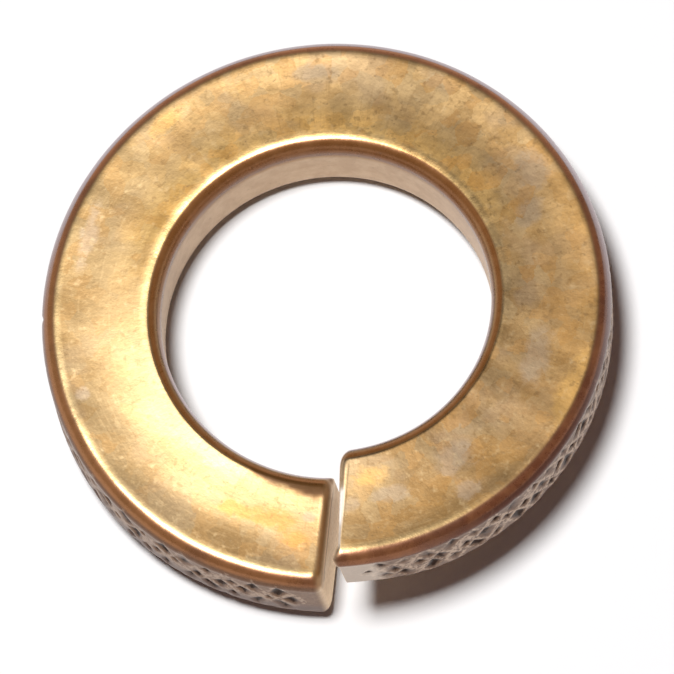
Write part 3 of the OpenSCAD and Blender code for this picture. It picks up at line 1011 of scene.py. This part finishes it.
def build_camera():
    """A long lens, tilted from the bore axis, turned about it and rolled; gives the image's right and up."""
    side = Vector((math.cos(CAMERA_TURN), math.sin(CAMERA_TURN), 0))
    back = Vector((0, 0, 1)).cross(side)
    toward = math.cos(CAMERA_TILT) * Vector((0, 0, 1)) - math.sin(CAMERA_TILT) * back
    upright = toward.cross(side)
    right = math.cos(CAMERA_ROLL) * side - math.sin(CAMERA_ROLL) * upright
    up = math.sin(CAMERA_ROLL) * side + math.cos(CAMERA_ROLL) * upright
    aside = (IMAGE_PX / 2 - ORIGIN_PX[0]) / PX_PER_MM
    above = (ORIGIN_PX[1] - IMAGE_PX / 2) / PX_PER_MM
    place = (toward * CAMERA_DISTANCE + right * aside + up * above) * MM
    data = bpy.data.cameras.new("camera")
    data.sensor_width = SENSOR_MM
    data.lens = PX_PER_MM * CAMERA_DISTANCE * SENSOR_MM / IMAGE_PX
    data.clip_start, data.clip_end = 0.01, 10.0
    camera = bpy.data.objects.new("camera", data)
    bpy.context.scene.collection.objects.link(camera)
    turn = Matrix((right, up, toward)).transposed()
    camera.matrix_world = Matrix.Translation(place) @ turn.to_4x4()
    bpy.context.scene.camera = camera
    return right, up


image_right, image_up = build_camera()

# The light: one round lamp, a dark ceiling and a faint world. Lengths are in metres.
KEY_DISTANCE = 0.4
KEY_WIDTH = 0.09
KEY_LEAN = (-0.09, 0.04)
KEY_WATTS = 1.72
CEILING_HEIGHT, CEILING_REACH = 0.5, 1.3
CEILING_COLOR = (0.225, 0.158, 0.167)
FILL_COLOR, FILL_STRENGTH = (1.0, 0.78, 0.94), 0.15
BACKDROP_COLOR, BACKDROP_STRENGTH = (1.0, 1.0, 1.0), 1.0


def lamp(name, direction, distance, width, watts):
    """A round soft lamp aimed at the washer."""
    data = bpy.data.lights.new(name, "AREA")
    data.shape = "DISK"
    data.size = width
    data.energy = watts
    light = bpy.data.objects.new(name, data)
    light.location = direction.normalized() * distance
    light.rotation_mode = "QUATERNION"
    light.rotation_quaternion = direction.to_track_quat("Z", "Y")
    bpy.context.scene.collection.objects.link(light)


def flat_on_floor(direction):
    """The direction, laid into the resting plane."""
    return (direction - rest_up * direction.dot(rest_up)).normalized()


key_direction = (
    rest_up
    + KEY_LEAN[0] * flat_on_floor(image_right)
    + KEY_LEAN[1] * flat_on_floor(image_up)
)
lamp("key", key_direction, KEY_DISTANCE, KEY_WIDTH, KEY_WATTS)


def build_ceiling():
    """A plain dark ceiling, well above the camera."""
    signs = [(-1, -1), (-1, 1), (1, 1), (1, -1)]
    corners = [(x * CEILING_REACH, y * CEILING_REACH, CEILING_HEIGHT) for x, y in signs]
    mesh = bpy.data.meshes.new("ceiling")
    mesh.from_pydata(corners, [], [(0, 1, 2, 3)])
    ceiling = bpy.data.objects.new("ceiling", mesh)
    mesh.materials.append(paint("ceiling_grey", CEILING_COLOR))
    bpy.context.scene.collection.objects.link(ceiling)


build_ceiling()


def build_world():
    """White where the camera and the metal look past the table, dim as a source of light."""
    world = bpy.data.worlds.new("studio")
    bpy.context.scene.world = world
    world.use_nodes = True
    tree = world.node_tree
    tree.nodes.clear()
    n = Nodes(tree)
    path = n.add("LightPath")
    seen = n.math("MAXIMUM", path.outputs["Is Camera Ray"], path.outputs["Is Glossy Ray"])
    seen = n.math("MAXIMUM", seen, path.outputs["Is Transmission Ray"])
    fill = n.add("Background", {"Color": FILL_COLOR, "Strength": FILL_STRENGTH})
    backdrop = n.add("Background", {"Color": BACKDROP_COLOR, "Strength": BACKDROP_STRENGTH})
    mixed = n.add("MixShader")
    tree.links.new(seen, mixed.inputs[0])
    tree.links.new(fill.outputs[0], mixed.inputs[1])
    tree.links.new(backdrop.outputs[0], mixed.inputs[2])
    tree.links.new(mixed.outputs[0], n.add("OutputWorld").inputs["Surface"])


build_world()
bpy.context.scene.view_settings.view_transform = "Standard"
